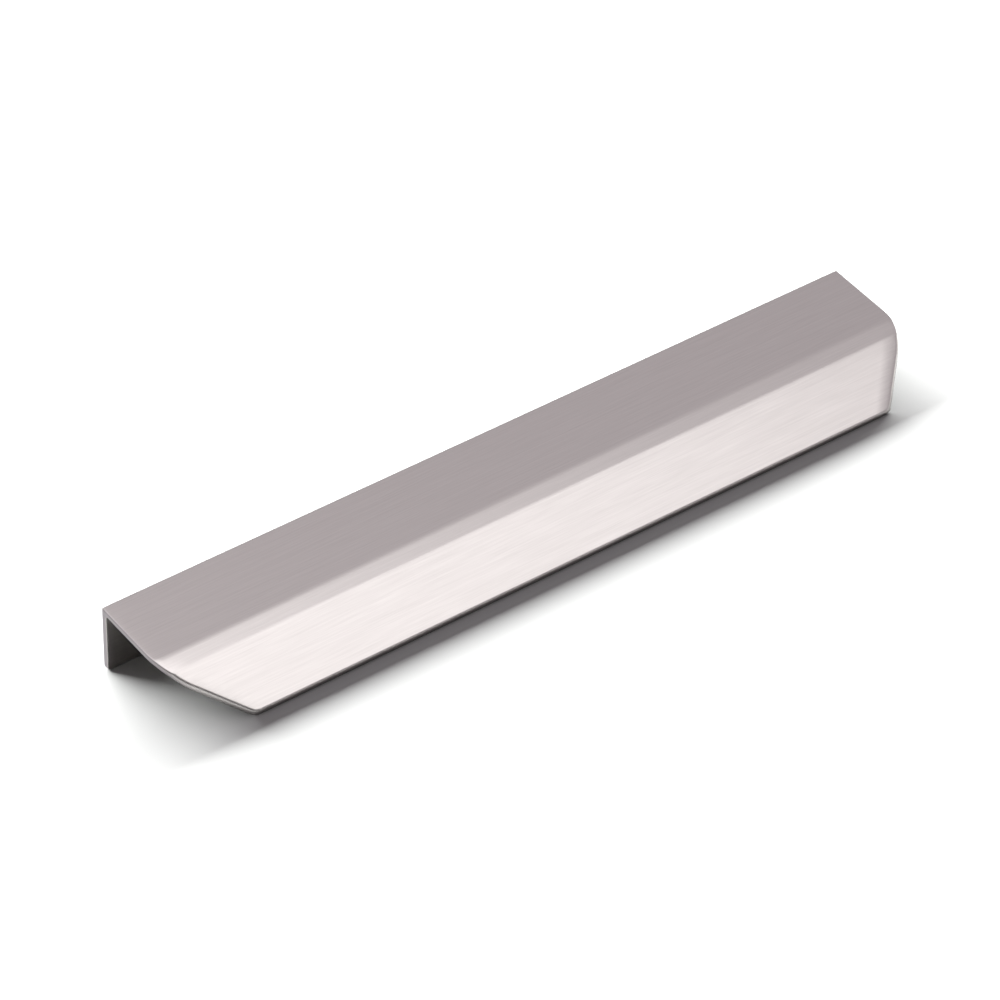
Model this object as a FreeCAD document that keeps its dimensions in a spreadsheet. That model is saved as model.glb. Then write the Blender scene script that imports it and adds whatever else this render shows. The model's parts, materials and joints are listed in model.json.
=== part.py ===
"""Finger pull profile for the top edge of an 18 mm cabinet door or drawer front.

One length of extruded aluminium: a leg that screws to the back of the door, a flat plate
that lies on the door's edge, and a lip that turns down over the front in two easy bends.
The ends of the lip are cut back to 45 degrees. Millimetres, X along the length, the lip
towards -Y, +Z up. It stands as it comes to rest unheld: on the leg's lower edge and on the
lip's lower edge.
"""
import FreeCAD
import Part
import Sketcher
import math
import os

NODE = "finger_pull_profile"

# Driving dimensions in millimetres and degrees.
SIZES = (
    ("profile_length", 200, "length of the profile along the door"),
    ("wall", 1.5, "thickness of leg, plate and lip"),
    ("leg_height", 17.6, "top of the plate to the bottom of the leg"),
    ("door_seat", 18.3, "flat underside from the leg to the first bend: an 18 mm door and a little play"),
    ("first_bend", 12, "turn of the first bend"),
    ("second_bend", 16, "turn of the second bend"),
    ("bend_radius", 6, "inside radius of both bends"),
    ("facet_run", 1.7, "straight stretch between the bends"),
    ("lip_run", 15.2, "straight stretch from the second bend to the front edge"),
    ("root_radius", 0.8, "inside corner of leg and plate"),
    ("cut_angle", 45, "end cut of the lip, seen from above"),
    ("cut_start", 24, "back face to where the line of the end cut meets the end"),
    ("cut_radius", 16, "rounding where the end runs into the end cut"),
    ("tip_corner", 2.0, "rounding of the front corners of the lip"),
    ("leg_corner", 1.0, "rounding of the lower corners of the leg"),
    ("top_edge", 0.8, "rounding of the ends and front of the upper face"),
    ("fine_edge", 0.3, "rounding of all other edges"),
    ("screw_spacing", 160, "centre to centre of the screw holes"),
    ("screw_height", 8, "bottom of the leg to the screw holes"),
    ("screw_hole", 4.2, "diameter of the screw holes"),
    ("screw_land", 0.6, "straight part of a screw hole below its countersink"),
    ("countersink", 90, "included angle of the countersinks"),
)

SHEET = "Sizes"

# Lengths that together reach past the front edge from the back face.
FULL_REACH = ("wall", "door_seat", "bend_radius", "wall", "bend_radius", "wall", "facet_run", "lip_run")

# Two faces meet in a sharp edge when their normals differ by more than this many degrees.
SHARP_TURN = 10
# A face looks upward when its normal is nearer than this many degrees to the vertical.
UPWARD = 60

ALONG = FreeCAD.Vector(1, 0, 0)
BACK = FreeCAD.Vector(0, 1, 0)
UP = FreeCAD.Vector(0, 0, 1)

# Sketch points of a line or an arc, and the sketch's own origin.
START, END, CENTRE = 1, 2, 3
ROOT_POINT = -1


def make_sheet(doc):
    """Write the driving dimensions to a spreadsheet, one named cell each."""
    sheet = doc.addObject("Spreadsheet::Sheet", SHEET)
    for row, (alias, value, meaning) in enumerate(SIZES, start=1):
        sheet.set(f"A{row}", meaning)
        sheet.set(f"B{row}", str(value))
        sheet.setAlias(f"B{row}", alias)
    doc.recompute()
    return sheet


def cell(alias):
    return f"{SHEET}.{alias}"


def plane(body, role):
    return next(item for item in body.Origin.OriginFeatures if item.Role == role)


def new_sketch(body, role, name):
    sketch = body.newObject("Sketcher::SketchObject", name)
    sketch.AttachmentSupport = [(plane(body, role), "")]
    sketch.MapMode = "FlatFace"
    return sketch


def constrain(sketch, kind, *where):
    return sketch.addConstraint(Sketcher.Constraint(kind, *where))


def dimension(sketch, name, expression, kind, *where):
    """Add a dimension, name it and bind it to the sheet."""
    number = constrain(sketch, kind, *where)
    sketch.renameConstraint(number, name)
    sketch.setExpression(f"Constraints.{name}", expression)


def line(sketch, start, end):
    return sketch.addGeometry(Part.LineSegment(start, end))


def arc(sketch, centre, radius, start_angle, end_angle):
    circle = Part.Circle(centre, UP, radius)
    edge = Part.ArcOfCircle(circle, math.radians(start_angle), math.radians(end_angle))
    return sketch.addGeometry(edge)


def draw_section(body, size):
    """The section across the profile, drawn seen from its end with the lip to the left."""
    sketch = new_sketch(body, "YZ_Plane", "Section")
    wall, height, inside = size["wall"], size["leg_height"], size["bend_radius"]
    outside = inside + wall
    first, second = size["first_bend"], size["first_bend"] + size["second_bend"]
    root = size["root_radius"]
    bend_at = -(wall + size["door_seat"])
    up = 90

    def point(across, above):
        return FreeCAD.Vector(across, above, 0)

    def forward(angle):
        return point(-math.cos(math.radians(angle)), -math.sin(math.radians(angle)))

    def outward(angle):
        return point(-math.sin(math.radians(angle)), math.cos(math.radians(angle)))

    first_centre = point(bend_at, height - outside)
    second_centre = first_centre + forward(first) * size["facet_run"]
    lip_start = second_centre + outward(second) * outside
    lip_end = lip_start + forward(second) * size["lip_run"]
    tip_end = lip_end - outward(second) * wall
    seat_level = height - wall

    leg_back = line(sketch, point(0, 0), point(0, height))
    plate_top = line(sketch, point(0, height), point(bend_at, height))
    first_outer = arc(sketch, first_centre, outside, up, up + first)
    facet_out = outward(first) * outside
    facet_top = line(sketch, first_centre + facet_out, second_centre + facet_out)
    second_outer = arc(sketch, second_centre, outside, up + first, up + second)
    lip_top = line(sketch, lip_start, lip_end)
    tip = line(sketch, lip_end, tip_end)
    lip_under = line(sketch, tip_end, second_centre + outward(second) * inside)
    second_inner = arc(sketch, second_centre, inside, up + first, up + second)
    facet_in = outward(first) * inside
    facet_under = line(sketch, second_centre + facet_in, first_centre + facet_in)
    first_inner = arc(sketch, first_centre, inside, up, up + first)
    seat = line(sketch, point(bend_at, seat_level), point(-wall - root, seat_level))
    root_arc = arc(sketch, point(-wall - root, seat_level - root), root, 0, up)
    leg_inner = line(sketch, point(-wall, seat_level - root), point(-wall, 0))
    leg_bottom = line(sketch, point(-wall, 0), point(0, 0))

    corners = (
        (leg_back, END, plate_top, START),
        (lip_top, END, tip, START),
        (tip, END, lip_under, START),
        (leg_inner, END, leg_bottom, START),
        (leg_bottom, END, leg_back, START),
    )
    for place in corners:
        constrain(sketch, "Coincident", *place)
    smooth_joins = (
        (plate_top, END, first_outer, START),
        (first_outer, END, facet_top, START),
        (facet_top, END, second_outer, START),
        (second_outer, END, lip_top, START),
        (lip_under, END, second_inner, END),
        (second_inner, START, facet_under, START),
        (facet_under, END, first_inner, END),
        (first_inner, START, seat, START),
        (seat, END, root_arc, END),
        (root_arc, START, leg_inner, START),
    )
    for place in smooth_joins:
        constrain(sketch, "Tangent", *place)
    constrain(sketch, "Coincident", leg_back, START, ROOT_POINT, START)
    for upright in (leg_back, leg_inner):
        constrain(sketch, "Vertical", upright)
    for level in (plate_top, seat, leg_bottom):
        constrain(sketch, "Horizontal", level)
    constrain(sketch, "Coincident", first_outer, CENTRE, first_inner, CENTRE)
    constrain(sketch, "Coincident", second_outer, CENTRE, second_inner, CENTRE)
    constrain(sketch, "Parallel", facet_top, facet_under)
    constrain(sketch, "Parallel", lip_top, lip_under)
    constrain(sketch, "Perpendicular", lip_top, tip)
    constrain(sketch, "Equal", second_inner, first_inner)

    dimension(sketch, "leg_height", cell("leg_height"), "DistanceY", leg_back, START, leg_back, END, height)
    dimension(sketch, "leg_wall", cell("wall"), "DistanceX", leg_bottom, START, leg_bottom, END, wall)
    dimension(sketch, "plate_wall", cell("wall"), "DistanceY", seat, START, plate_top, END, wall)
    depth = size["door_seat"]
    dimension(sketch, "door_seat", cell("door_seat"), "DistanceX", seat, START, leg_inner, END, depth)
    dimension(sketch, "bend_radius", cell("bend_radius"), "Radius", first_inner, inside)
    dimension(sketch, "root_radius", cell("root_radius"), "Radius", root_arc, root)
    facet_slope = f"{cell('first_bend')} * 1 deg"
    dimension(sketch, "facet_slope", facet_slope, "Angle", facet_under, math.radians(first))
    lip_slope = f"({cell('first_bend')} + {cell('second_bend')}) * 1 deg"
    dimension(sketch, "lip_slope", lip_slope, "Angle", lip_under, math.radians(second))
    dimension(sketch, "facet_run", cell("facet_run"), "Distance", facet_top, size["facet_run"])
    dimension(sketch, "lip_run", cell("lip_run"), "Distance", lip_top, size["lip_run"])
    return sketch


def draw_end_cut(body, size):
    """The piece cut from the right end of the lip, seen from above."""
    sketch = new_sketch(body, "XY_Plane", "End_cut")
    half, radius, angle = size["profile_length"] / 2, size["cut_radius"], size["cut_angle"]
    turn = math.radians(angle)
    arc_start = -(size["cut_start"] - radius * math.tan(turn / 2))
    reach = sum(size[run] for run in FULL_REACH)

    def point(along, across):
        return FreeCAD.Vector(along, across, 0)

    centre = point(half - radius, arc_start)
    arc_end = centre + point(radius * math.cos(turn), -radius * math.sin(turn))
    far = point(arc_end.x - (arc_end.y + reach) * math.tan(turn), -reach)
    outside = half + radius

    rounding = arc(sketch, centre, radius, -angle, 0)
    slope = line(sketch, far, arc_end)
    front = line(sketch, point(outside, -reach), far)
    side = line(sketch, point(outside, arc_start), point(outside, -reach))
    back = line(sketch, point(half, arc_start), point(outside, arc_start))

    constrain(sketch, "Tangent", slope, END, rounding, START)
    constrain(sketch, "Coincident", front, END, slope, START)
    constrain(sketch, "Coincident", side, END, front, START)
    constrain(sketch, "Coincident", back, END, side, START)
    constrain(sketch, "Coincident", rounding, END, back, START)
    constrain(sketch, "Horizontal", front)
    constrain(sketch, "Horizontal", back)
    constrain(sketch, "Vertical", side)
    constrain(sketch, "Horizontal", rounding, CENTRE, rounding, END)

    end_face = f"{cell('profile_length')} / 2"
    dimension(sketch, "end_face", end_face, "DistanceX", ROOT_POINT, START, back, START, half)
    dimension(sketch, "cut_radius", cell("cut_radius"), "Radius", rounding, radius)
    dimension(sketch, "overhang", cell("cut_radius"), "DistanceX", back, START, back, END, radius)
    cut_slope = f"90 deg - {cell('cut_angle')} * 1 deg"
    dimension(sketch, "cut_slope", cut_slope, "Angle", slope, math.radians(90 - angle))
    tangent_run = f"{cell('cut_radius')} * tan({cell('cut_angle')} * 1 deg / 2)"
    from_back = f"{cell('cut_start')} - {tangent_run}"
    dimension(sketch, "arc_start", from_back, "DistanceY", back, START, ROOT_POINT, START, -arc_start)
    full_reach = " + ".join(cell(run) for run in FULL_REACH)
    dimension(sketch, "reach", full_reach, "DistanceY", side, END, ROOT_POINT, START, reach)
    return sketch


def draw_screw_holes(body, size):
    """Centres of the screw holes on the back of the leg."""
    sketch = new_sketch(body, "XZ_Plane", "Screw_centres")
    half, height, radius = size["screw_spacing"] / 2, size["screw_height"], size["screw_hole"] / 2
    half_spacing = f"{cell('screw_spacing')} / 2"
    hole_radius = f"{cell('screw_hole')} / 2"
    for name, side in (("left", -1), ("right", 1)):
        centre = FreeCAD.Vector(side * half, height, 0)
        circle = sketch.addGeometry(Part.Circle(centre, UP, radius))
        run = ((ROOT_POINT, START), (circle, CENTRE))[::side]
        dimension(sketch, f"{name}_run", half_spacing, "DistanceX", *run[0], *run[1], half)
        rise = cell("screw_height")
        dimension(sketch, f"{name}_height", rise, "DistanceY", ROOT_POINT, START, circle, CENTRE, height)
        dimension(sketch, f"{name}_radius", hole_radius, "Radius", circle, radius)
    return sketch


def cross_edges(shape, face):
    """Names of a face's edges that run across the profile."""
    names = []
    for number, edge in enumerate(shape.Edges, start=1):
        on_face = any(edge.isSame(side) for side in face.Edges)
        aslant = edge.tangentAt(edge.FirstParameter).cross(ALONG).Length
        if on_face and aslant > math.sin(math.radians(SHARP_TURN)):
            names.append(f"Edge{number}")
    return names


def sharp_edges(shape):
    """Each sharp edge's name, with the outward normals of its two faces at its middle."""
    for number, edge in enumerate(shape.Edges, start=1):
        faces = shape.ancestorsOfType(edge, Part.Face)
        if len(faces) != 2:
            continue
        middle = edge.valueAt((edge.FirstParameter + edge.LastParameter) / 2)
        normals = [face.normalAt(*face.Surface.parameter(middle)) for face in faces]
        if math.degrees(normals[0].getAngle(normals[1])) > SHARP_TURN:
            yield f"Edge{number}", normals


def upper_outline(shape):
    """Names of the sharp edges round the ends and front of the upper face."""
    names = []
    for name, normals in sharp_edges(shape):
        looks_up = any(math.degrees(normal.getAngle(UP)) < UPWARD for normal in normals)
        looks_back = any(math.degrees(normal.getAngle(BACK)) < SHARP_TURN for normal in normals)
        if looks_up and not looks_back:
            names.append(name)
    return names


def round_edges(body, base, name, alias, edges):
    """Round the named edges of a feature, with a radius from the sheet."""
    fillet = body.newObject("PartDesign::Fillet", name)
    fillet.Base = (base, edges)
    fillet.setExpression("Radius", cell(alias))
    body.Document.recompute()
    return fillet


def build_profile(doc, size):
    """Extrude the section, cut the lip's ends, round the edges and drill the leg."""
    body = doc.addObject("PartDesign::Body", NODE)
    body.Label = NODE

    stock = body.newObject("PartDesign::Pad", "Stock")
    stock.Profile = draw_section(body, size)
    stock.SideType = "Symmetric"
    stock.setExpression("Length", cell("profile_length"))
    doc.recompute()

    end_cut = body.newObject("PartDesign::Pocket", "Right_end_cut")
    end_cut.Profile = draw_end_cut(body, size)
    end_cut.Type = "ThroughAll"
    end_cut.SideType = "Symmetric"
    doc.recompute()
    both_cuts = body.newObject("PartDesign::Mirrored", "Both_end_cuts")
    both_cuts.Originals = [end_cut]
    both_cuts.MirrorPlane = (end_cut.Profile[0], ["V_Axis"])
    body.Tip = both_cuts
    doc.recompute()

    front_face = min(both_cuts.Shape.Faces, key=lambda face: face.CenterOfMass.y)
    edges = cross_edges(both_cuts.Shape, front_face)
    feature = round_edges(body, both_cuts, "Tip_corners", "tip_corner", edges)
    bottom_face = min(feature.Shape.Faces, key=lambda face: face.CenterOfMass.z)
    edges = cross_edges(feature.Shape, bottom_face)
    feature = round_edges(body, feature, "Leg_corners", "leg_corner", edges)
    feature = round_edges(body, feature, "Top_edges", "top_edge", upper_outline(feature.Shape))
    edges = [name for name, normals in sharp_edges(feature.Shape)]
    feature = round_edges(body, feature, "Fine_edges", "fine_edge", edges)
    undrilled = feature.Shape.Volume

    holes = body.newObject("PartDesign::Hole", "Screw_holes")
    holes.Profile = draw_screw_holes(body, size)
    doc.recompute()
    holes.DepthType = "Dimension"
    holes.DrillPoint = "Flat"
    holes.setExpression("Depth", f"2 * {cell('wall')}")
    holes.Reversed = True
    holes.ThreadType = "None"
    holes.setExpression("Diameter", cell("screw_hole"))
    holes.HoleCutType = "Countersink"
    holes.HoleCutCustomValues = True
    holes.setExpression("HoleCutCountersinkAngle", cell("countersink"))
    sunk = f"2 * ({cell('wall')} - {cell('screw_land')}) * tan({cell('countersink')} * 1 deg / 2)"
    holes.setExpression("HoleCutDiameter", f"{cell('screw_hole')} + {sunk}")
    body.Tip = holes
    doc.recompute()
    if body.Shape.Volume >= undrilled:
        raise RuntimeError("the screw holes cut nothing")
    return body


def rest_angle(size):
    """How far the profile tips forward until its lip touches the surface it stands on."""
    wall, inside, radius = size["wall"], size["bend_radius"], size["fine_edge"]
    first = math.radians(size["first_bend"])
    second = math.radians(size["first_bend"] + size["second_bend"])
    facet, lip = size["facet_run"], size["lip_run"]
    across = size["door_seat"] + inside * math.sin(second) + facet * math.cos(first) + lip * math.cos(second)
    drop = inside * (1 - math.cos(second)) + facet * math.sin(first) + lip * math.sin(second)
    above = size["leg_height"] - wall - drop
    # Both lower edges have the same rounding, so the angle follows the line of their centres.
    run = across - radius * math.cos(second) + radius * math.sin(second) + radius
    rise = above + radius * math.sin(second) + radius * math.cos(second) - radius
    return math.degrees(math.atan2(rise, run))


def set_at_rest(doc, body, size):
    """Tip the profile on to its two lower edges, with the origin under its middle."""
    tipped = FreeCAD.Rotation(ALONG, rest_angle(size))
    body.Placement = FreeCAD.Placement(FreeCAD.Vector(), tipped)
    doc.recompute()
    box = body.Shape.optimalBoundingBox(False, False)
    body.Placement = FreeCAD.Placement(FreeCAD.Vector(-box.Center.x, -box.Center.y, -box.ZMin), tipped)
    doc.recompute()


def check(doc, body):
    for item in doc.Objects:
        if "Invalid" in item.State or "Error" in item.State:
            raise RuntimeError(f"{item.Name} did not compute: {item.State}")
    if body.Shape.isNull() or not body.Shape.isValid() or len(body.Shape.Solids) != 1:
        raise RuntimeError(f"{body.Label} is not one valid solid")


def main():
    doc = FreeCAD.newDocument("Finger_pull")
    sheet = make_sheet(doc)
    size = {alias: float(sheet.get(alias)) for alias, value, meaning in SIZES}
    body = build_profile(doc, size)
    set_at_rest(doc, body, size)
    check(doc, body)
    os.makedirs("parts", exist_ok=True)
    body.Shape.exportStep(f"parts/{body.Label}.step")
    box = body.Shape.optimalBoundingBox(False, False)
    print(f"{body.Label}: {body.Shape.Volume:.1f} mm3, rest angle {rest_angle(size):.3f} deg")
    print(f"box {box.XLength:.3f} x {box.YLength:.3f} x {box.ZLength:.3f} mm, lowest at {box.ZMin:.4f}")


main()
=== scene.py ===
"""Finger pull profile with a brushed nickel finish, on a studio floor lit to white.

One length of extruded aluminium for the top edge of a cabinet door: a leg behind the door, a
plate on the door's edge and a lip that turns down over the front in two bends. It is modelled
with its leg upright, then tipped forward on to the edges it rests on. Metres, X along the
length, the lip towards -Y, +Z up.
"""

import json
import math

import bmesh
import bpy
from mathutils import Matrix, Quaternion, Vector


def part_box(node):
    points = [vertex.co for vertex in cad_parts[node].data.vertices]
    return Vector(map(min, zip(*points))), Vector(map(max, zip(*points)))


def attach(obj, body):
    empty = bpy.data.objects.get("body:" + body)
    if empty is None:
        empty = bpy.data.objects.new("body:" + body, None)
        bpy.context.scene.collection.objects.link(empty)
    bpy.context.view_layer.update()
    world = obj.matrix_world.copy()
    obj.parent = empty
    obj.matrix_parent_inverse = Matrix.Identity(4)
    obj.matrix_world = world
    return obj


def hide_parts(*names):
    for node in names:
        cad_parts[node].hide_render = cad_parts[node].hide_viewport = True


bl_info = {
    "name": "Finger pull profile",
    "version": (1, 0, 0),
    "blender": (4, 5, 0),
    "location": "View3D > Sidebar > Finger pull",
    "description": "Models a finger pull profile with a brushed nickel finish on a studio floor",
    "category": "Add Mesh",
}

MM = 0.001
NODE = "finger_pull_profile"
PIECE = "brushed_profile"

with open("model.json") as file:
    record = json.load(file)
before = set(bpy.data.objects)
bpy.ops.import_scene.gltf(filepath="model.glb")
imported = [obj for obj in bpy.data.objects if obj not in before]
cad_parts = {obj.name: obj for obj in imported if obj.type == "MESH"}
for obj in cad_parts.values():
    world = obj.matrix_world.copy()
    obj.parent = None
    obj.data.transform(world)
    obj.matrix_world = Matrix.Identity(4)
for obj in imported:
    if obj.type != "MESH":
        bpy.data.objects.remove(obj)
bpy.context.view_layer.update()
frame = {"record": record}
NODE_LOW, NODE_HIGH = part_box(NODE)
MOUNTS = {mount["name"]: mount for mount in frame["record"]["mounts"]}
SEAT_AXIS = Vector(MOUNTS["door_edge_seat"]["axis"])
SCREW_RADIUS = MOUNTS["screw_hole_left"]["dims"]["r_mm"] * MM
SCREW_LAND = MOUNTS["screw_hole_left"]["dims"]["length_mm"] * MM
SCREW_SPACING = MOUNTS["screw_hole_right"]["pos_m"][0] - MOUNTS["screw_hole_left"]["pos_m"][0]

# Flat steps that each stretch is drawn in, where it bends or follows the rounding of the end cuts.
PLATE_STEPS = 3
FIRST_BEND_STEPS = 10
FACET_STEPS = 6
SECOND_BEND_STEPS = 8
LIP_STEPS = 6
ROOT_STEPS = 6
CORNER_STEPS = 6
EDGE_STEPS = 5
HOLE_STEPS = 64
# Steps in which the rounding of the upper edge grows from the plate to the lip.
EDGE_GROWTH_STEPS = 12

# Rows of points that the roll-off of the ends follows, as shares of its width.
ROLL_OFF_ROWS = (0.3, 0.5, 0.73, 1)
# The plate's roll-off as a share of the lip's.
PLATE_ROLL_OFF = 0.1
# Points closer than this are one.
WELD = 0.0001 * MM
# How far a cutter reaches past what it cuts.
CUTTER_MARGIN = 1 * MM
# Faces that meet at more than this angle have a sharp edge between them.
SHARP_TURN = math.radians(25)
# A normal this far along a direction, out of one, looks that way.
LOOKS = 0.99
# A normal this far along +Z belongs to the upper face, along X to an end.
UPPER_FACE = 0.8
END_FACE = 0.5

QUARTER_TURN = math.radians(90)
ALONG = Vector((1, 0, 0))
BACK = Vector((0, 1, 0))
UP = Vector((0, 0, 1))


def linear(colour):
    """Linear red, green and blue of an sRGB hex colour."""
    channels = [int(colour[place:place + 2], 16) / 255 for place in (0, 2, 4)]
    return [c / 12.92 if c <= 0.04045 else ((c + 0.055) / 1.055) ** 2.4 for c in channels]


def size_property(name, description, default):
    return bpy.props.FloatProperty(
        name=name, description=description, default=default, min=0, unit="LENGTH", precision=5)


def angle_property(name, description, degrees):
    return bpy.props.FloatProperty(
        name=name, description=description, default=math.radians(degrees), unit="ROTATION")


def colour_property(name, description, colour):
    return bpy.props.FloatVectorProperty(
        name=name, description=description, default=linear(colour), subtype="COLOR", min=0, max=1)


class FingerPullSizes(bpy.types.PropertyGroup):
    """Sizes of the profile."""

    profile_length: size_property("Length", "Length along the door", NODE_HIGH.x - NODE_LOW.x)
    wall: size_property("Wall", "Thickness of leg, plate and lip", 1.5 * MM)
    leg_height: size_property("Leg height", "Top of the plate to the bottom of the leg", 17.6 * MM)
    door_seat: size_property("Door seat", "Flat underside from the leg to the first bend", 18.3 * MM)
    first_bend: angle_property("First bend", "Turn of the first bend", 12)
    second_bend: angle_property("Second bend", "Turn of the second bend", 14.18)
    lip_bow: angle_property("Lip bow", "Turn of the upper part of the lip, on from the bend", 3)
    first_radius: size_property("First bend radius", "Inside radius of the first bend", 6 * MM)
    second_radius: size_property("Second bend radius", "Inside radius of the second bend", 1.5 * MM)
    facet_run: size_property("Facet", "Straight stretch between the bends", 3.01 * MM)
    lip_run: size_property("Lip", "From the second bend to the front edge", 15.235 * MM)
    root_radius: size_property("Root radius", "Inside corner of leg and plate", 0.8 * MM)
    cut_angle: angle_property("End cut", "Angle of the lip's end cuts, seen from above", 45)
    cut_start: size_property("End cut start", "Back to where the cut's line meets the end", 24 * MM)
    cut_radius: size_property("End cut radius", "Rounding where the end runs into the end cut", 16 * MM)
    tip_corner: size_property("Lip corners", "Rounding of the front corners of the lip", 2 * MM)
    leg_corner: size_property("Leg corners", "Rounding of the lower corners of the leg", 1 * MM)
    roll_off: size_property("Roll-off", "Fall of the lip's upper face at its ends", 0.37 * MM)
    roll_off_width: size_property("Roll-off width", "Width of the stretch that falls away", 5.2 * MM)
    top_edge: size_property("Top edge", "Rounding of the outline of the lip's upper face", 0.8 * MM)
    fine_edge: size_property("Fine edge", "Rounding of all other edges", 0.3 * MM)
    screw_spacing: size_property("Screw spacing", "Centre to centre of the screw holes", SCREW_SPACING)
    screw_height: size_property("Screw height", "Bottom of the leg to the screw holes", 8 * MM)
    screw_radius: size_property("Screw hole", "Radius of the screw holes", SCREW_RADIUS)
    screw_land: size_property("Screw land", "Straight part of a screw hole", SCREW_LAND)
    countersink: angle_property("Countersink", "Included angle of the countersinks", 90)


class FingerPullFinish(bpy.types.PropertyGroup):
    """Colours of the finish and of the stage."""

    nickel_light: colour_property("Nickel, crests", "Colour of the brush lines' crests", "DAD6D3")
    nickel_dark: colour_property("Nickel, grooves", "Colour of the brush lines' grooves", "C6C2BF")
    # The ends' colour is partly their duller cut face and partly painted shade.
    nickel_ends_and_shade: colour_property("Nickel, ends", "Colour of the sawn ends", "8C868A")
    floor: colour_property("Floor", "Colour of the floor for the camera", "9B9C9B")
    # Painted shade: the floor is darker in the metal's reflections and in its bounce light than to the
    # camera.
    floor_mirrored: colour_property("Floor, mirrored", "Colour of the floor for the metal", "8E8F8E")
    room: colour_property("Room", "Colour of the light from all round", "FFF6FC")


class FingerPullView(bpy.types.PropertyGroup):
    """Where the camera stands."""

    azimuth: angle_property("Azimuth", "Turn of the camera round the profile from the front", -31.65)
    elevation: angle_property("Elevation", "Height of the camera as an angle", 31.64)
    roll: angle_property("Roll", "Turn of the camera about its own line of sight", -7.14)
    distance: size_property("Distance", "Camera to the point that it looks at", 1178.8 * MM)
    lens: bpy.props.FloatProperty(
        name="Lens", description="Focal length of the camera", default=189.82, unit="CAMERA")
    target: bpy.props.FloatVectorProperty(
        name="Target", description="Point that the camera looks at", subtype="TRANSLATION",
        default=(2.65 * MM, 16.49 * MM, -1.78 * MM))


def add_node(owner, kind, inputs=None, **settings):
    """Add a node with its settings, each input given as a value or as the output that feeds it."""
    node = owner.node_tree.nodes.new(kind)
    for name, value in settings.items():
        setattr(node, name, value)
    for name, value in (inputs or {}).items():
        if isinstance(value, bpy.types.NodeSocket):
            owner.node_tree.links.new(value, node.inputs[name])
        else:
            node.inputs[name].default_value = value
    return node


def new_material(name):
    """An empty node material, and nothing in it but its output."""
    material = bpy.data.materials.new(name)
    material.use_nodes = True
    material.node_tree.nodes.clear()
    return material


# A satin nickel plate brushed lengthwise: a warm grey metal with fine, long, faint lines, that
# blurs what it mirrors. Real brush lines are finer than the render shows, about 0.05 mm, so they
# are drawn a third of a millimetre wide.
BRUSH_LINE_WIDTH = 0.32 * MM
BRUSH_LINE_LENGTH = 13 * MM
BRUSH_LINE_DEPTH = 0.0025 * MM
# How many times finer lines run within the lines, and how strong each is against the one before.
FINER_LINES, FINER_LINE_STRENGTH = 2, 0.6
# Roughness of the lines' crests and of their grooves.
SMOOTHEST, ROUGHEST = 0.27, 0.35
# The ends are darker, in part for their duller cut face and in part as painted shade that dims
# what they mirror. A normal this far along X, out of one, starts to count as an end, or is one.
END_STARTS, END_FULL = 0.5, 1.0


def brushed_nickel(finish):
    """Brushed nickel plate on aluminium, brushed along the profile."""
    material = new_material("brushed_nickel_plate")
    place = add_node(material, "ShaderNodeTexCoord")
    across = 1 / BRUSH_LINE_WIDTH
    line_scale = (1 / BRUSH_LINE_LENGTH, across, across)
    lines_at = add_node(
        material, "ShaderNodeMapping", {"Vector": place.outputs["Object"], "Scale": line_scale})
    lines = add_node(
        material, "ShaderNodeTexNoise",
        {"Vector": lines_at.outputs["Vector"], "Scale": 1,
         "Detail": FINER_LINES, "Roughness": FINER_LINE_STRENGTH})
    colour = add_node(
        material, "ShaderNodeMixRGB",
        {"Fac": lines.outputs["Fac"], "Color1": (*finish.nickel_dark, 1),
         "Color2": (*finish.nickel_light, 1)})
    facing = add_node(material, "ShaderNodeSeparateXYZ", {"Vector": place.outputs["Normal"]})
    lengthwise = add_node(material, "ShaderNodeMath", {0: facing.outputs["X"]}, operation="ABSOLUTE")
    # Painted shade: faces that look along X are darkened, partly for the duller cut, partly for what
    # they mirror.
    sawn_and_shaded = add_node(
        material, "ShaderNodeMapRange",
        {"Value": lengthwise.outputs["Value"], "From Min": END_STARTS, "From Max": END_FULL})
    colour = add_node(
        material, "ShaderNodeMixRGB",
        {"Fac": sawn_and_shaded.outputs["Result"], "Color1": colour.outputs["Color"],
         "Color2": (*finish.nickel_ends_and_shade, 1)})
    roughness = add_node(
        material, "ShaderNodeMapRange",
        {"Value": lines.outputs["Fac"], "To Min": ROUGHEST, "To Max": SMOOTHEST})
    bump = add_node(
        material, "ShaderNodeBump",
        {"Height": lines.outputs["Fac"], "Strength": 1, "Distance": BRUSH_LINE_DEPTH})
    shader = add_node(
        material, "ShaderNodeBsdfPrincipled",
        {"Base Color": colour.outputs["Color"], "Metallic": 1,
         "Roughness": roughness.outputs["Result"], "Normal": bump.outputs["Normal"]})
    add_node(material, "ShaderNodeOutputMaterial", {"Surface": shader.outputs["BSDF"]})
    return material


def floor_paper(finish):
    """Grey paper, smooth and matt, that its own lamp lights to white; darker to all but the camera,
    which paints shade into what the metal mirrors and the light it throws back.
    """
    material = new_material("matt_grey_paper")
    ray = add_node(material, "ShaderNodeLightPath")
    # Painted shade on the metal: it mirrors, and is lit by, a darker floor than the camera sees.
    colour = add_node(
        material, "ShaderNodeMixRGB",
        {"Fac": ray.outputs["Is Camera Ray"], "Color1": (*finish.floor_mirrored, 1),
         "Color2": (*finish.floor, 1)})
    shader = add_node(
        material, "ShaderNodeBsdfPrincipled",
        {"Base Color": colour.outputs["Color"], "Roughness": 1, "Specular IOR Level": 0})
    add_node(material, "ShaderNodeOutputMaterial", {"Surface": shader.outputs["BSDF"]})
    return material


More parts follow.
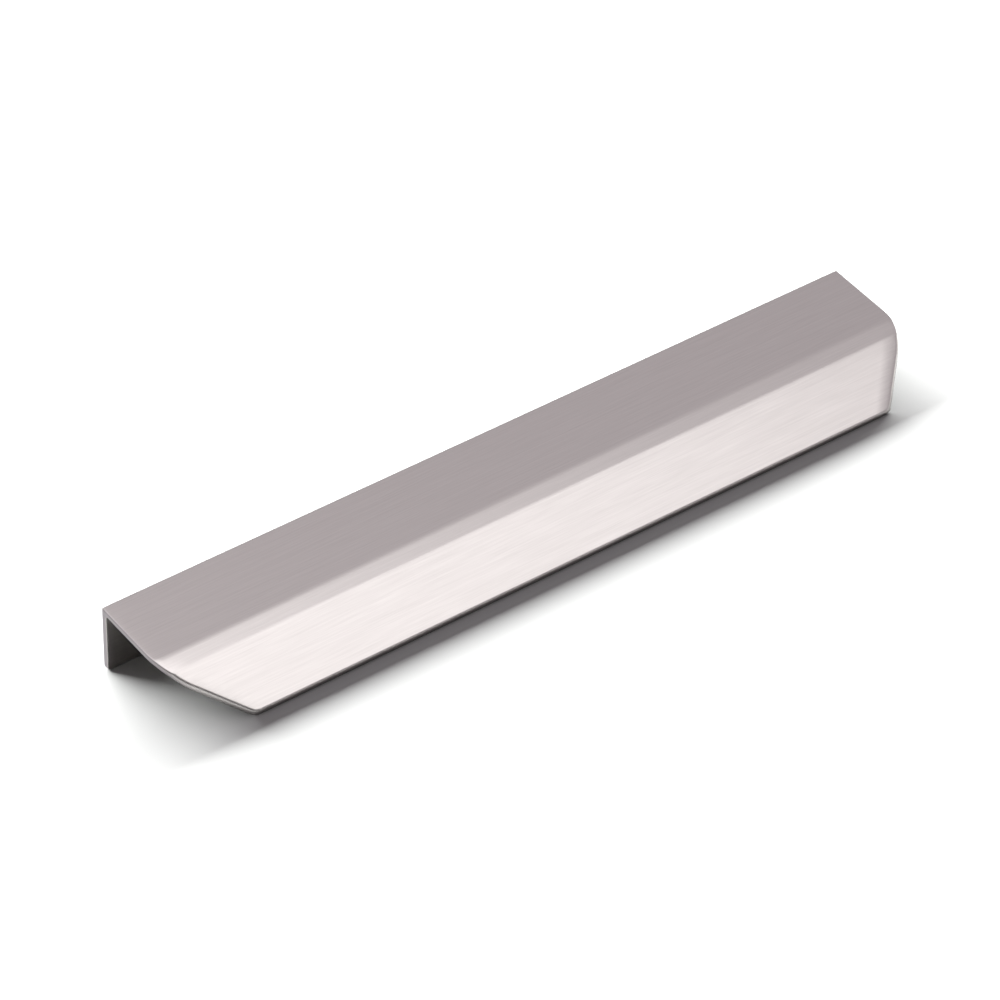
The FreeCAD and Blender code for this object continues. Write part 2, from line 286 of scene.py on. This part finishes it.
def select_faces(piece, wanted):
    """Select the faces that pass a test, and nothing else."""
    bpy.ops.mesh.select_mode(type="FACE")
    bpy.ops.mesh.select_all(action="DESELECT")
    mesh = bmesh.from_edit_mesh(piece.data)
    for face in mesh.faces:
        face.select_set(wanted(face))
    if not any(face.select for face in mesh.faces):
        raise RuntimeError("No face passes the test.")
    bmesh.update_edit_mesh(piece.data)


def select_edges(piece, wanted):
    """Select the sharp edges whose middle and faces' normals pass a test, and nothing else."""
    bpy.ops.mesh.select_mode(type="EDGE")
    bpy.ops.mesh.select_all(action="DESELECT")
    mesh = bmesh.from_edit_mesh(piece.data)
    mesh.normal_update()
    for edge in mesh.edges:
        if edge.calc_face_angle() > SHARP_TURN:
            middle = sum((vertex.co for vertex in edge.verts), Vector()) / 2
            edge.select_set(wanted(middle, [face.normal for face in edge.link_faces]))
    if not any(edge.select for edge in mesh.edges):
        raise RuntimeError("No edge passes the test.")
    bmesh.update_edit_mesh(piece.data)


def looks(normals, way):
    """Whether one of two normals points a given way."""
    return max(normal.dot(way) for normal in normals) > LOOKS


def extrude(move, steps=1):
    """Draw the selected face out along a move, in equal steps."""
    for _ in range(steps):
        bpy.ops.mesh.extrude_region_move(TRANSFORM_OT_translate={"value": move / steps})


def forward(angle):
    """Direction along the plate, or along what has turned down from it by an angle."""
    return Vector((0, -math.cos(angle), -math.sin(angle)))


def outward(angle):
    """Direction straight out of the upper face, where it has turned down by an angle."""
    return Vector((0, -math.sin(angle), math.cos(angle)))


def lip_slope(size):
    """How far the lower part of the lip has turned down from the plate."""
    return size.first_bend + size.second_bend + size.lip_bow


def extrude_stock(size):
    """The stock's section drawn out face by face, with square ends."""
    seat_level = size.leg_height - size.wall
    bend_slope = size.first_bend + size.second_bend
    arc_start, arc_end = end_cut_arc(size)
    bpy.ops.mesh.primitive_plane_add(size=1, location=(0, -size.wall / 2, 0))
    piece = bpy.context.object
    piece.scale = (size.profile_length, size.wall, 1)
    bpy.ops.object.transform_apply(location=True, rotation=False, scale=True)
    bpy.ops.object.mode_set(mode="EDIT")
    bpy.ops.mesh.select_all(action="SELECT")
    extrude(seat_level * UP)
    extrude(size.wall * UP)
    bpy.ops.mesh.select_all(action="SELECT")
    bpy.ops.mesh.normals_make_consistent(inside=False)

    def front_of_plate(face):
        return face.normal.y < -LOOKS and face.calc_center_median().z > seat_level

    select_faces(piece, front_of_plate)
    to_bend = size.wall + size.door_seat - arc_start
    extrude((size.door_seat - to_bend) * forward(0))
    extrude(to_bend * forward(0), PLATE_STEPS)
    bend_centre = Vector((0, -size.wall - size.door_seat, seat_level - size.first_radius))
    bpy.ops.mesh.spin(steps=FIRST_BEND_STEPS, angle=size.first_bend, center=bend_centre, axis=-ALONG)
    facet = size.facet_run * forward(size.first_bend)
    extrude(facet, FACET_STEPS)
    tighter = size.first_radius - size.second_radius
    lip_centre = bend_centre + facet + tighter * outward(size.first_bend)
    bpy.ops.mesh.spin(steps=SECOND_BEND_STEPS, angle=size.second_bend, center=lip_centre, axis=-ALONG)
    # The lip's underside is last to leave the arc of the end cut.
    under_lip = -lip_centre.y + size.second_radius * math.sin(bend_slope)
    to_slant = (arc_end - under_lip) / math.cos(lip_slope(size))
    for step in range(LIP_STEPS):
        # Each step has the slope that the bow has at its middle.
        slope = bend_slope + size.lip_bow * (2 * step + 1) / (2 * LIP_STEPS)
        extrude(to_slant / LIP_STEPS * forward(slope))
    extrude((size.lip_run - to_slant) * forward(lip_slope(size)))
    bpy.ops.mesh.select_all(action="SELECT")
    bpy.ops.mesh.normals_make_consistent(inside=False)

    def square_end(face):
        return abs(face.normal.x) > LOOKS and face.calc_center_median().y > -arc_start

    def root(middle, normals):
        return middle.z > size.leg_height / 2 and looks(normals, -UP) and looks(normals, -BACK)

    select_faces(piece, square_end)
    bpy.ops.mesh.dissolve_faces()
    select_edges(piece, root)
    bpy.ops.mesh.bevel(offset=size.root_radius, segments=ROOT_STEPS, affect="EDGES")
    return piece


def end_cut_arc(size):
    """How far from the back face the rounding of an end cut starts and ends."""
    start = size.cut_start - size.cut_radius * math.tan(size.cut_angle / 2)
    return start, start + size.cut_radius * math.sin(size.cut_angle)


def end_inset(depth, size):
    """How far the end stands back from a square end, at a depth from the back face."""
    start, end = end_cut_arc(size)
    if depth > end:
        return (depth - size.cut_start) * math.tan(size.cut_angle)
    return size.cut_radius - math.sqrt(size.cut_radius ** 2 - max(depth - start, 0) ** 2)


def lip_share(depth, size):
    """How far the ends have changed from those of the plate, 0, to those of the lip, 1.

    The change starts about where the facet does and takes twice its run, slow at first and last.
    """
    start = size.wall + size.door_seat + size.facet_run / 2
    share = min(max((depth - start) / (2 * size.facet_run), 0), 1)
    return share * share * (3 - 2 * share)


def roll_off_ends(piece, size):
    """Let the upper face fall away towards its ends, as brushing wears it, mostly on the lip."""
    half = size.profile_length / 2
    for reach in ROLL_OFF_ROWS:
        for side in (-1, 1):
            bpy.ops.mesh.select_all(action="SELECT")
            place = side * (half - reach * size.roll_off_width) * ALONG
            bpy.ops.mesh.bisect(plane_co=place, plane_no=ALONG, threshold=WELD)

    moves = {}
    for vertex in bmesh.from_edit_mesh(piece.data).verts:
        upper = [face.normal for face in vertex.link_faces if face.normal.z > UPPER_FACE]
        reach = (half - abs(vertex.co.x)) / size.roll_off_width
        if upper and reach < 1:
            share = PLATE_ROLL_OFF + (1 - PLATE_ROLL_OFF) * lip_share(-vertex.co.y, size)
            drop = share * size.roll_off * (1 - reach) ** 2
            moves[vertex.index] = -drop * sum(upper, Vector()).normalized()
    bpy.ops.mesh.select_mode(type="VERT")
    for index, move in moves.items():
        bpy.ops.mesh.select_all(action="DESELECT")
        mesh = bmesh.from_edit_mesh(piece.data)
        mesh.verts.ensure_lookup_table()
        mesh.verts[index].select_set(True)
        bmesh.update_edit_mesh(piece.data)
        bpy.ops.transform.translate(value=move)


def shape_ends(piece, size):
    """Draw each row of points in along X to the outline of the ends, seen from above."""
    mesh = bmesh.from_edit_mesh(piece.data)
    depths = {-vertex.co.y for vertex in mesh.verts if end_inset(-vertex.co.y, size) > 0}
    bpy.ops.mesh.select_mode(type="VERT")
    for depth in sorted(depths):
        bpy.ops.mesh.select_all(action="DESELECT")
        for vertex in bmesh.from_edit_mesh(piece.data).verts:
            vertex.select_set(vertex.co.y == -depth)
        bmesh.update_edit_mesh(piece.data)
        shorten = 1 - 2 * end_inset(depth, size) / size.profile_length
        bpy.ops.transform.resize(value=(shorten, 1, 1), center_override=(0, -depth, 0))


def round_corners(piece, size):
    """Round the front corners of the lip and the lower corners of the leg."""
    tip = forward(lip_slope(size))

    def tip_corner(middle, normals):
        at_end = max(abs(normal.x) for normal in normals) > END_FACE
        return -middle.y > size.cut_start and at_end and looks(normals, tip)

    def leg_corner(middle, normals):
        at_end = looks(normals, ALONG) or looks(normals, -ALONG)
        return middle.z < size.leg_height / 2 and at_end and looks(normals, -UP)

    select_edges(piece, tip_corner)
    turn = tip.angle(Vector((math.cos(size.cut_angle), -math.sin(size.cut_angle), 0)))
    bpy.ops.mesh.bevel(
        offset=size.tip_corner * math.tan(turn / 2), segments=CORNER_STEPS, affect="EDGES")
    select_edges(piece, leg_corner)
    bpy.ops.mesh.bevel(offset=size.leg_corner, segments=CORNER_STEPS, affect="EDGES")


def round_edges(piece, size):
    """Round every sharp edge, the ends and front of the lip's upper face more than the rest."""
    fine = size.fine_edge / size.top_edge
    select_edges(piece, lambda middle, normals: True)
    bpy.ops.transform.edge_bevelweight(value=fine)
    for step in range(EDGE_GROWTH_STEPS):

        def rounder_outline(middle, normals):
            on_top = max(normal.z for normal in normals) > UPPER_FACE
            return on_top and lip_share(-middle.y, size) > step / EDGE_GROWTH_STEPS

        select_edges(piece, rounder_outline)
        bpy.ops.transform.edge_bevelweight(value=(1 - fine) / EDGE_GROWTH_STEPS)
    bpy.ops.object.mode_set(mode="OBJECT")
    bevel = piece.modifiers.new("rounded edges", "BEVEL")
    bevel.limit_method = "WEIGHT"
    bevel.width = size.top_edge
    bevel.segments = EDGE_STEPS
    bevel.use_clamp_overlap = False
    bpy.ops.object.modifier_apply(modifier=bevel.name)


def drill_leg(piece, size):
    """Two screw holes through the leg, countersunk from behind."""
    sink = size.wall - size.screw_land
    flare = (sink + CUTTER_MARGIN) * math.tan(size.countersink / 2)
    depth = size.screw_land + CUTTER_MARGIN
    for side in (-1, 1):
        place = Vector((side * size.screw_spacing / 2, -sink - depth / 2, size.screw_height))
        bpy.ops.mesh.primitive_cylinder_add(
            vertices=HOLE_STEPS, radius=size.screw_radius, depth=depth, location=place,
            rotation=(QUARTER_TURN, 0, 0))
        cutter = bpy.context.object
        bpy.ops.object.transform_apply(location=True, rotation=True, scale=True)
        bpy.ops.object.mode_set(mode="EDIT")
        select_faces(cutter, lambda face: face.normal.y > LOOKS)
        extrude((sink + CUTTER_MARGIN) * BACK)
        grow = 1 + flare / size.screw_radius
        bpy.ops.transform.resize(
            value=(grow, 1, grow), center_override=(place.x, CUTTER_MARGIN, place.z))
        bpy.ops.object.mode_set(mode="OBJECT")
        bpy.ops.object.select_all(action="DESELECT")
        bpy.context.view_layer.objects.active = piece
        hole = piece.modifiers.new("screw hole", "BOOLEAN")
        hole.operation = "DIFFERENCE"
        hole.object = cutter
        bpy.ops.object.modifier_apply(modifier=hole.name)
        bpy.data.objects.remove(cutter)


def smooth(piece):
    """Shade flats flat and rounded stretches round."""
    bpy.ops.object.select_all(action="DESELECT")
    piece.select_set(True)
    bpy.context.view_layer.objects.active = piece
    bpy.ops.object.shade_smooth_by_angle(angle=SHARP_TURN)
    flats = piece.modifiers.new("flat faces", "WEIGHTED_NORMAL")
    flats.keep_sharp = True
    bpy.ops.object.modifier_apply(modifier=flats.name)


def set_at_rest(piece):
    """Tip the profile on to its two lower edges, at the frame's own place."""
    piece.rotation_euler.x = math.atan2(SEAT_AXIS.y, -SEAT_AXIS.z)
    bpy.ops.object.transform_apply(location=False, rotation=True, scale=False)
    places = [vertex.co for vertex in piece.data.vertices]
    low = Vector([min(place[axis] for place in places) for axis in range(3)])
    high = Vector([max(place[axis] for place in places) for axis in range(3)])
    middle = (NODE_LOW + NODE_HIGH - low - high) / 2
    piece.location = (middle.x, middle.y, NODE_LOW.z - low.z)
    bpy.ops.object.transform_apply(location=True, rotation=False, scale=False)


class FINGERPULL_OT_model_profile(bpy.types.Operator):
    """Model the profile, give it its finish and set it where it rests"""

    bl_idname = "fingerpull.model_profile"
    bl_label = "Model the profile"

    def execute(self, context):
        size = context.scene.finger_pull_sizes
        bpy.ops.object.select_all(action="DESELECT")
        piece = extrude_stock(size)
        piece.name = PIECE
        roll_off_ends(piece, size)
        shape_ends(piece, size)
        round_corners(piece, size)
        round_edges(piece, size)
        drill_leg(piece, size)
        smooth(piece)
        set_at_rest(piece)
        piece.data.materials.append(brushed_nickel(context.scene.finger_pull_finish))
        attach(piece, "root")
        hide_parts(NODE)
        return {"FINISHED"}


def aim(thing, target, roll=0.0):
    """Turn a camera or a lamp from where it stands to a point, and about its own line of sight."""
    straight = (Vector(target) - thing.location).to_track_quat("-Z", "Y")
    thing.rotation_mode = "QUATERNION"
    thing.rotation_quaternion = straight @ Quaternion((0, 0, 1), roll)


def direction(azimuth, elevation):
    """Direction from the profile to something at an azimuth from the front and an elevation."""
    level = math.cos(elevation)
    return Vector((math.sin(azimuth) * level, -math.cos(azimuth) * level, math.sin(elevation)))


# A floor well past what the camera sees.
FLOOR_SIDE = 6
# A softbox level above the profile, whose edge runs across what the metal mirrors. It lights the
# metal alone.
SOFTBOX_PLACE = Vector((-0.0905, -0.5403, 1.0))
SOFTBOX_SIDES = (1.5, 2.4)
SOFTBOX_TURN = math.radians(33.6)
SOFTBOX_BRIGHTNESS = 1.10
# A broad lamp far behind and to the right. It lights the floor alone, to white, and throws the soft
# shadow in front.
FLOOR_LAMP_PLACE = Vector((5.5, 5.8, 2.9))
FLOOR_LAMP_SIDES = (18, 2.2)
FLOOR_LAMP_BRIGHTNESS = 73
# The room is lightest behind the profile and to its right, and dark behind the camera. A direction
# this far towards the light side, out of one, is where the dark ends or the full light begins.
LIGHT_SIDE = direction(math.radians(135), math.radians(35))
DARK_ENDS, LIGHT_BEGINS = -0.6, 0.6
ROOM_DARK, ROOM_LIGHT = 0.10, 0.54


def hang_lamp(name, place, sides, brightness):
    """A flat lamp with an evenly bright face."""
    bpy.ops.object.light_add(type="AREA", location=place)
    lamp = bpy.context.object
    lamp.name = name
    lamp.data.shape = "RECTANGLE"
    lamp.data.size, lamp.data.size_y = sides
    lamp.data.energy = brightness * math.pi * sides[0] * sides[1]
    return lamp


def light_only(lamp, thing):
    """Keep a lamp's light to one thing, while all things throw their shadow in it."""
    lit = bpy.data.collections.new(lamp.name + "_lights")
    lit.objects.link(thing)
    lamp.light_linking.receiver_collection = lit


def studio_room(finish):
    """Light from all round, dark on the camera's side."""
    world = bpy.data.worlds.new("studio_room")
    world.use_nodes = True
    world.node_tree.nodes.clear()
    way = add_node(world, "ShaderNodeTexCoord")
    towards = add_node(
        world, "ShaderNodeVectorMath", {0: way.outputs["Generated"], 1: LIGHT_SIDE},
        operation="DOT_PRODUCT")
    level = add_node(
        world, "ShaderNodeMapRange",
        {"Value": towards.outputs["Value"], "From Min": DARK_ENDS, "From Max": LIGHT_BEGINS,
         "To Min": ROOM_DARK, "To Max": ROOM_LIGHT},
        interpolation_type="SMOOTHSTEP")
    light = add_node(
        world, "ShaderNodeBackground",
        {"Color": (*finish.room, 1), "Strength": level.outputs["Result"]})
    add_node(world, "ShaderNodeOutputWorld", {"Surface": light.outputs["Background"]})
    return world


class FINGERPULL_OT_set_stage(bpy.types.Operator):
    """Lay the floor, hang the lamps and set up the camera"""

    bl_idname = "fingerpull.set_stage"
    bl_label = "Set the stage"

    def execute(self, context):
        scene = context.scene
        finish, view = scene.finger_pull_finish, scene.finger_pull_view
        bpy.ops.object.select_all(action="DESELECT")
        bpy.ops.mesh.primitive_plane_add(size=FLOOR_SIDE)
        floor = context.object
        floor.name = "floor"
        floor.data.materials.append(floor_paper(finish))

        softbox = hang_lamp("overhead_softbox", SOFTBOX_PLACE, SOFTBOX_SIDES, SOFTBOX_BRIGHTNESS)
        aim(softbox, SOFTBOX_PLACE - UP, SOFTBOX_TURN)
        light_only(softbox, bpy.data.objects[PIECE])
        floor_lamp = hang_lamp(
            "floor_lamp", FLOOR_LAMP_PLACE, FLOOR_LAMP_SIDES, FLOOR_LAMP_BRIGHTNESS)
        aim(floor_lamp, (FLOOR_LAMP_PLACE.x, 0, 0))
        light_only(floor_lamp, floor)
        scene.world = studio_room(finish)

        target = Vector(view.target)
        stand = target + view.distance * direction(view.azimuth, view.elevation)
        bpy.ops.object.camera_add(location=stand)
        camera = context.object
        aim(camera, target, view.roll)
        camera.data.lens = view.lens
        scene.camera = camera
        scene.view_settings.view_transform = "Standard"
        return {"FINISHED"}


class FINGERPULL_PT_sidebar(bpy.types.Panel):
    """Sizes, finish, view and the steps that make the profile"""

    bl_idname = "FINGERPULL_PT_sidebar"
    bl_label = "Finger pull profile"
    bl_space_type = "VIEW_3D"
    bl_region_type = "UI"
    bl_category = "Finger pull"

    def draw(self, context):
        for name in GROUPS:
            box = self.layout.box()
            group = getattr(context.scene, name)
            for setting in group.__annotations__:
                box.prop(group, setting)
        for step in STEPS:
            self.layout.operator(step.bl_idname)


GROUPS = {
    "finger_pull_sizes": FingerPullSizes,
    "finger_pull_finish": FingerPullFinish,
    "finger_pull_view": FingerPullView,
}
STEPS = (FINGERPULL_OT_model_profile, FINGERPULL_OT_set_stage)


def register():
    for item in (*GROUPS.values(), *STEPS, FINGERPULL_PT_sidebar):
        bpy.utils.register_class(item)
    for name, group in GROUPS.items():
        setattr(bpy.types.Scene, name, bpy.props.PointerProperty(type=group))


def unregister():
    for name in GROUPS:
        delattr(bpy.types.Scene, name)
    for item in (FINGERPULL_PT_sidebar, *STEPS, *GROUPS.values()):
        bpy.utils.unregister_class(item)


def main():
    register()
    bpy.ops.fingerpull.model_profile()
    bpy.ops.fingerpull.set_stage()


if __name__ == "__main__":
    main()
